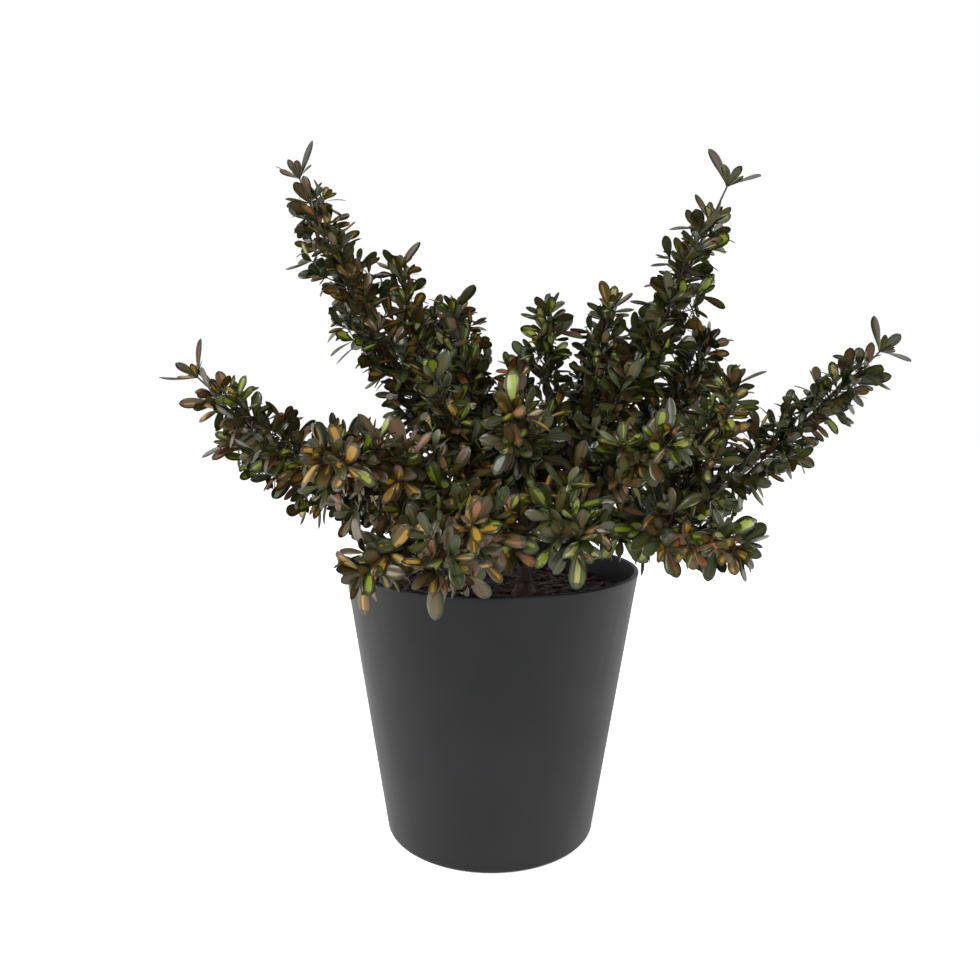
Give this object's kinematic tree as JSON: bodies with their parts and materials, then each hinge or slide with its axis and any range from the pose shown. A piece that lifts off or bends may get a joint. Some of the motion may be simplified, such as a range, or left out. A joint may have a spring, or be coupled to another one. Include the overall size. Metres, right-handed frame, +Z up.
{
  "type": "potted evening glow coprosma",
  "caption": "Small-leaved evergreen shrub with long rising and spreading arms of glossy variegated leaves on dark stems, growing in a plain tapered round plastic pot of bark mix.",
  "frame": {"origin": "middle of the pot's flat underside", "axes": "+Z up, +X to the right and +Y to the back as the plant is seen from its front"},
  "size_m": [0.4902, 0.3233, 0.467],
  "materials": {
    "charcoal_plastic": "smooth satin, charcoal",
    "potting_mix": "rough, dark composted bark",
    "bark": "dull, dark red-brown",
    "foliage": "glossy leaves, dark green with lime, gold and bronze"
  },
  "bodies": {
    "root": {"pot": "charcoal_plastic", "potting_mix": "potting_mix", "trunk": "bark", "bough_upper_left": "bark", "bough_left": "bark", "bough_upper_right": "bark", "bough_right": "bark", "bough_upper_left_inner": "bark", "bough_left_low": "bark", "bough_centre_left_back": "bark", "bough_right_back": "bark", "bough_right_upper": "bark", "bough_centre_right": "bark", "bough_centre_right_back": "bark", "bough_front_left": "bark", "bough_front_left_low": "bark", "bough_front_left_end": "bark", "bough_front_right_low": "bark", "bough_front": "bark", "bough_front_right": "bark", "bough_centre_left": "bark", "bough_centre_front": "bark", "bough_back": "bark", "bough_back_left": "bark", "bough_back_right": "bark", "bough_upper_back": "bark", "bough_back_right_low": "bark", "foliage_upper_left": "foliage", "foliage_left": "foliage", "foliage_upper_right": "foliage", "foliage_right": "foliage", "foliage_upper_left_inner": "foliage", "foliage_left_low": "foliage", "foliage_centre_left_back": "foliage", "foliage_right_back": "foliage", "foliage_right_upper": "foliage", "foliage_centre_right": "foliage", "foliage_centre_right_back": "foliage", "foliage_front_left": "foliage", "foliage_front_left_low": "foliage", "foliage_front_left_end": "foliage", "foliage_front_right_low": "foliage", "foliage_front": "foliage", "foliage_front_right": "foliage", "foliage_centre_left": "foliage", "foliage_centre_front": "foliage", "foliage_leader": "foliage", "foliage_back": "foliage", "foliage_back_left": "foliage", "foliage_back_right": "foliage", "foliage_upper_back": "foliage", "foliage_back_right_low": "foliage"}
  },
  "joints": []
}
